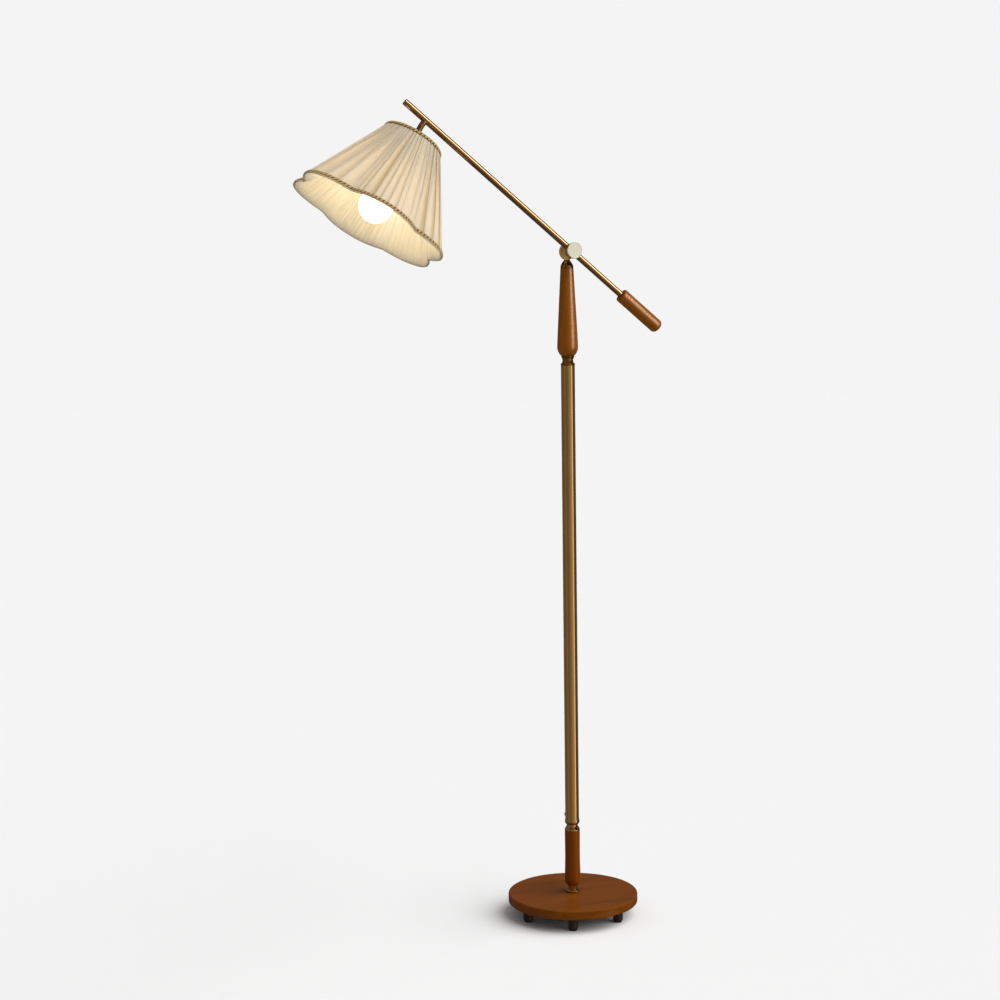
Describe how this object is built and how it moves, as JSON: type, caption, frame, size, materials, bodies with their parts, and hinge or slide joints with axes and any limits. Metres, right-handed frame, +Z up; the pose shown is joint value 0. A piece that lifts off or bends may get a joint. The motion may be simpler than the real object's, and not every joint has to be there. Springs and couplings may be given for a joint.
{
  "type": "bridge floor lamp",
  "caption": "Floor lamp: a round wooden base on feet, a brass pole between turned wooden spindles, and a tilting counterweighted arm that carries a pleated fabric shade.",
  "frame": {"origin": "on the floor, on the pole's axis, at the middle of the round base", "axes": "+Z up along the pole; -X towards the shade and +X towards the counterweight at rest; -Y towards the knob's side of the knuckle"},
  "size_m": [0.7218, 0.3094, 1.5403],
  "materials": {
    "walnut": "satin lacquer",
    "dark_walnut": "satin lacquer",
    "antique_brass": "satin antique plating",
    "pale_brass": "fine brushed face",
    "steel": "zinc plated",
    "iron": "black paint",
    "black_plastic": "satin",
    "felt": "pressed felt",
    "fibre": "vulcanised fibre",
    "ceramic": "glazed",
    "bulb_cap_metal": "rolled",
    "opal_glass": "opal",
    "frame_wire": "cream paint",
    "shade_cloth": "pleated",
    "lining_cloth": "fine pleats",
    "braid": "plaited trim"
  },
  "bodies": {
    "stand": {"base_board": "walnut", "feet": "black_plastic", "foot_pads": "felt", "foot_screws": "steel", "base_weight": "iron", "weight_screws": "steel", "lead_bush": "black_plastic", "base_nut": "steel", "base_washer": "steel", "lower_rod": "steel", "base_ring": "antique_brass", "lower_stem": "walnut", "lower_ferrule": "antique_brass", "pole_bottom_plug": "steel", "pole_set_screw": "antique_brass", "pole_tube": "antique_brass", "pole_top_plug": "steel", "upper_collar": "antique_brass", "upper_rod": "steel", "upper_baluster": "dark_walnut", "top_cap": "antique_brass"},
    "knuckle": {"knuckle": "antique_brass", "swing_clip": "steel", "pivot_bolt": "antique_brass", "knuckle_washer": "fibre"},
    "knob": {"knob": "pale_brass", "knob_washer": "fibre"},
    "arm": {"arm_boss": "antique_brass", "arm_tube": "antique_brass", "arm_tip_plug": "antique_brass", "counterweight": "walnut", "counterweight_core": "steel", "arm_lug": "antique_brass", "swivel_pin": "steel"},
    "head": {"head_swivel": "antique_brass", "holder_stem": "antique_brass", "holder_cap": "antique_brass", "holder_body": "black_plastic", "holder_insert": "ceramic", "shade_ring_nut": "black_plastic", "bulb_cap": "bulb_cap_metal", "bulb_glass": "opal_glass", "shade_carrier": "steel", "shade_frame": "frame_wire", "rim_wire": "frame_wire", "shade_cover": "shade_cloth", "shade_lining": "lining_cloth", "top_braid": "braid", "rim_braid": "braid"}
  },
  "joints": [
    {"name": "arm_swing", "type": "hinge", "parent": "stand", "child": "knuckle", "pos_m": [0, 0, 1.261], "axis": [0, 0, 1], "range_deg": [-165, 165]},
    {"name": "arm_tilt", "type": "hinge", "parent": "knuckle", "child": "arm", "pos_m": [0, -0.0215, 1.277], "axis": [0, 1, 0], "range_deg": [-45, 28]},
    {"name": "knob_turn", "type": "hinge", "parent": "knuckle", "child": "knob", "pos_m": [0, -0.0317, 1.277], "axis": [0, -1, 0], "range_deg": [0, 180]},
    {"name": "head_tilt", "type": "hinge", "parent": "arm", "child": "head", "pos_m": [-0.29957, -0.0215, 1.49455], "axis": [0, 1, 0], "range_deg": [-20, 30]}
  ]
}
